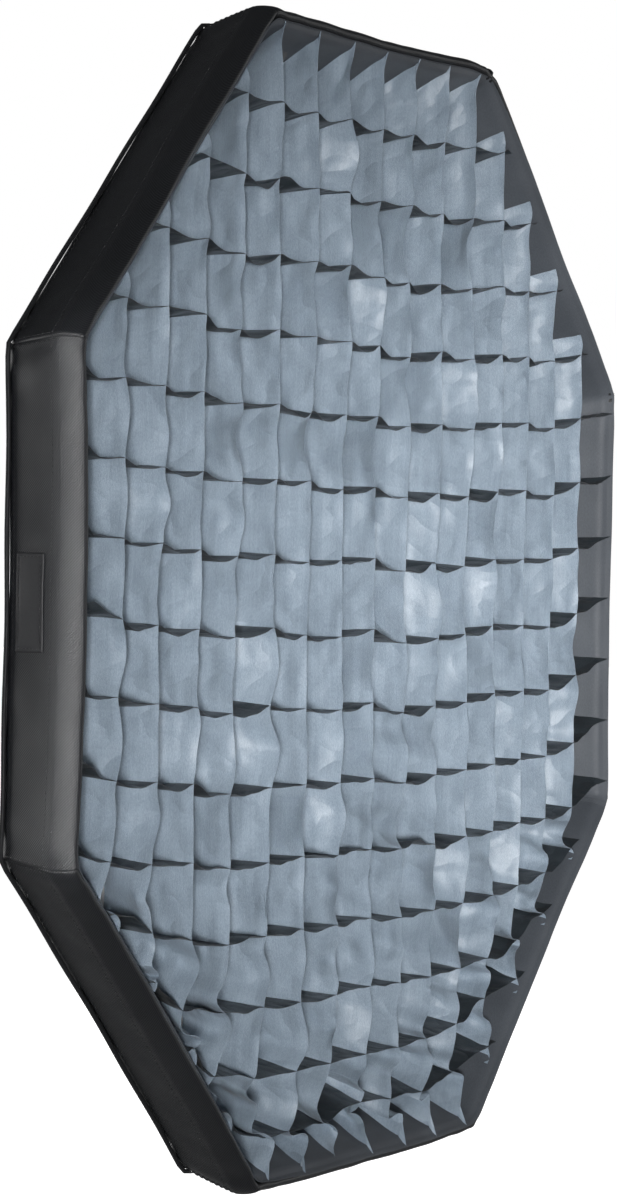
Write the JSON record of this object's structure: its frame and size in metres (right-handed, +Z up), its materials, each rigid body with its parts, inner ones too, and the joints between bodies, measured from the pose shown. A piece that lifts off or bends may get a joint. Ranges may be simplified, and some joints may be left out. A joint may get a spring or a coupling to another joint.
{
  "type": "studio softbox",
  "caption": "Octagonal fabric softbox with a padded black lip, recessed fabric egg-crate grid, white diffusers, shallow rod-sprung shell and a bayonet ring.",
  "frame": {"origin": "on the light's axis, in the plane where the mounting insert's flange seats against the lamp head", "axes": "-Y the way the light shines, +Y back into the lamp head, +Z up, +X to the right seen from behind the camera that faces the grid"},
  "size_m": [0.95, 0.2985, 0.95],
  "materials": {
    "insert_metal": "machined, matt anodised",
    "hub_metal": "black powder coat",
    "fastener_steel": "zinc-plated steel",
    "ferrule_metal": "satin tube",
    "rod_glass_fibre": "pale glass-fibre rod",
    "tip_rubber": "moulded cap",
    "knob_plastic": "moulded, fine grain",
    "pocket_web": "folded nylon webbing",
    "shell_cloth": "black coated polyester, fine twill",
    "lining_cloth": "silver reflecting cloth",
    "skirt_cloth": "black woven polyester, slight sheen",
    "lip_foam": "foam strip inside the lip",
    "binding_tape": "folded black binding",
    "hook_loop_tape": "black hook-and-loop tape",
    "patch_cloth": "blank sewn patch",
    "collar_cloth": "black elasticated hem",
    "border_cloth": "black woven nylon band",
    "grid_cloth": "thin satin nylon, blue grey in the light",
    "diffuser_cloth": "translucent white cloth",
    "baffle_cloth": "translucent white cloth",
    "elastic_tape": "white elastic"
  },
  "bodies": {
    "mount": {"mount_insert": "insert_metal", "retaining_ring": "insert_metal", "retainer_screws": "fastener_steel"},
    "box": {"baffle_hem": "baffle_cloth", "baffle_sheet": "baffle_cloth", "baffle_straps": "elastic_tape", "blank_patch": "patch_cloth", "corner_pockets": "pocket_web", "diffuser_loop_tape": "hook_loop_tape", "grid_loop_tape": "hook_loop_tape", "hub_ring": "hub_metal", "lip_padding": "lip_foam", "rear_collar": "collar_cloth", "reflector_lining": "lining_cloth", "rim_piping": "binding_tape", "rod_1": "rod_glass_fibre", "rod_2": "rod_glass_fibre", "rod_3": "rod_glass_fibre", "rod_4": "rod_glass_fibre", "rod_5": "rod_glass_fibre", "rod_6": "rod_glass_fibre", "rod_7": "rod_glass_fibre", "rod_8": "rod_glass_fibre", "rod_ferrules": "ferrule_metal", "rod_tips": "tip_rubber", "seam_bindings": "binding_tape", "shell_panel_1": "shell_cloth", "shell_panel_2": "shell_cloth", "shell_panel_3": "shell_cloth", "shell_panel_4": "shell_cloth", "shell_panel_5": "shell_cloth", "shell_panel_6": "shell_cloth", "shell_panel_7": "shell_cloth", "shell_panel_8": "shell_cloth", "skirt_panel_1": "skirt_cloth", "skirt_panel_2": "skirt_cloth", "skirt_panel_3": "skirt_cloth", "skirt_panel_4": "skirt_cloth", "skirt_panel_5": "skirt_cloth", "skirt_panel_6": "skirt_cloth", "skirt_panel_7": "skirt_cloth", "skirt_panel_8": "skirt_cloth", "strap_rings": "fastener_steel"},
    "brake": {"brake_shoe": "fastener_steel"},
    "lock": {"lock_screw": "fastener_steel", "lock_knob": "knob_plastic"},
    "grid": {"grid_hook_tape": "hook_loop_tape", "grid_border": "border_cloth", "horizontal_strips": "grid_cloth", "vertical_strips": "grid_cloth"},
    "diffuser": {"diffuser_hook_tape": "hook_loop_tape", "diffuser_hem": "diffuser_cloth", "diffuser_sheet": "diffuser_cloth"}
  },
  "joints": [
    {"name": "box_turn", "type": "hinge", "parent": "mount", "child": "box", "pos_m": [0, 0, 0], "axis": [0, 1, 0], "continuous": true},
    {"name": "brake_travel", "type": "slide", "parent": "box", "child": "brake", "axis": [0, 0, -1], "range_m": [0, 0.00121]},
    {"name": "lock_turn", "type": "hinge", "parent": "brake", "child": "lock", "pos_m": [0, -0.004, -0.09], "axis": [0, 0, -1], "range_deg": [0, 540]},
    {"name": "grid_pull", "type": "slide", "parent": "box", "child": "grid", "axis": [0, -1, 0], "range_m": [0, 0.25]},
    {"name": "diffuser_pull", "type": "slide", "parent": "box", "child": "diffuser", "axis": [0, -1, 0], "range_m": [0, 0.13]}
  ],
  "couplings": [
    {"joint": "brake_travel", "follows": "lock_turn", "m_per_rad": 0.00012732},
    {"joint": "diffuser_pull", "follows": "grid_pull", "ratio": 0.5}
  ]
}
